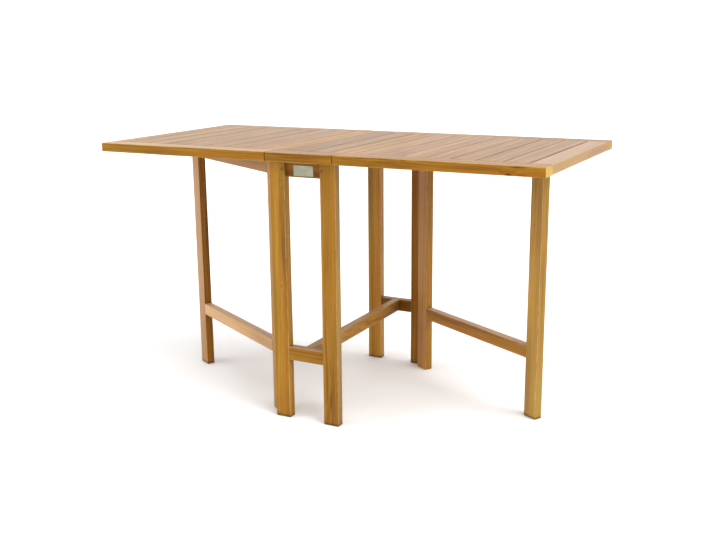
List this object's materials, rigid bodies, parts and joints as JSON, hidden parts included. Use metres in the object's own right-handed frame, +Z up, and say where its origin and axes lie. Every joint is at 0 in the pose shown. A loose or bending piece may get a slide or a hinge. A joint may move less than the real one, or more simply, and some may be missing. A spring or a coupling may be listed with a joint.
{
  "type": "folding garden table",
  "caption": "Folding slatted garden table of teak: a fixed centre on joined legs, with hinged leaves that swing-out gates carry.",
  "frame": {"origin": "on the floor under the middle of the open top", "axes": "+X along the length of the open top, +Y across it from the side with the metal plate to the other, +Z up"},
  "size_m": [1.327, 0.64, 0.75],
  "materials": {
    "teak": "oiled, satin",
    "peg_teak": "oiled, satin",
    "brass": "satin",
    "plate_metal": "brushed"
  },
  "bodies": {
    "centre": {"badge_plate": "plate_metal", "centre_far_rail": "teak", "centre_left_rail": "teak", "centre_near_rail": "teak", "centre_right_rail": "teak", "centre_slats": "teak", "far_left_leg": "teak", "far_low_rail": "teak", "far_right_leg": "teak", "far_top_rail": "teak", "left_gate_hinge_leg_plates": "brass", "left_hinge_centre_plates": "brass", "near_left_leg": "teak", "near_low_rail": "teak", "near_right_leg": "teak", "near_top_rail": "teak", "right_gate_hinge_leg_plates": "brass", "right_hinge_centre_plates": "brass", "stretcher": "teak"},
    "left_leaf": {"left_hinge_leaf_plates": "brass", "left_leaf_batten": "teak", "left_leaf_bearer": "teak", "left_leaf_end_rail": "teak", "left_leaf_far_rail": "teak", "left_leaf_joint_rail": "teak", "left_leaf_near_rail": "teak", "left_leaf_slats": "teak", "left_leaf_stop_block": "teak"},
    "right_leaf": {"right_hinge_leaf_plates": "brass", "right_leaf_batten": "teak", "right_leaf_bearer": "teak", "right_leaf_end_rail": "teak", "right_leaf_far_rail": "teak", "right_leaf_joint_rail": "teak", "right_leaf_near_rail": "teak", "right_leaf_slats": "teak", "right_leaf_stop_block": "teak"},
    "left_gate": {"left_gate_hinge_stile_plates": "brass", "left_gate_low_rail": "teak", "left_gate_outer_leg": "teak", "left_gate_stile": "teak", "left_gate_top_rail": "teak"},
    "right_gate": {"right_gate_hinge_stile_plates": "brass", "right_gate_low_rail": "teak", "right_gate_outer_leg": "teak", "right_gate_stile": "teak", "right_gate_top_rail": "teak"}
  },
  "joints": [
    {"name": "left_leaf_hinge", "type": "hinge", "parent": "centre", "child": "left_leaf", "pos_m": [-0.102, 0, 0.724], "axis": [0, 1, 0], "range_deg": [0, 6]},
    {"name": "right_leaf_hinge", "type": "hinge", "parent": "centre", "child": "right_leaf", "pos_m": [0.102, 0, 0.724], "axis": [0, -1, 0], "range_deg": [0, 6]},
    {"name": "left_gate_hinge", "type": "hinge", "parent": "centre", "child": "left_gate", "pos_m": [-0.1, -0.2745, 0], "axis": [0, 0, -1], "range_deg": [0, 61]},
    {"name": "right_gate_hinge", "type": "hinge", "parent": "centre", "child": "right_gate", "pos_m": [0.1, 0.2745, 0], "axis": [0, 0, -1], "range_deg": [0, 61]}
  ]
}
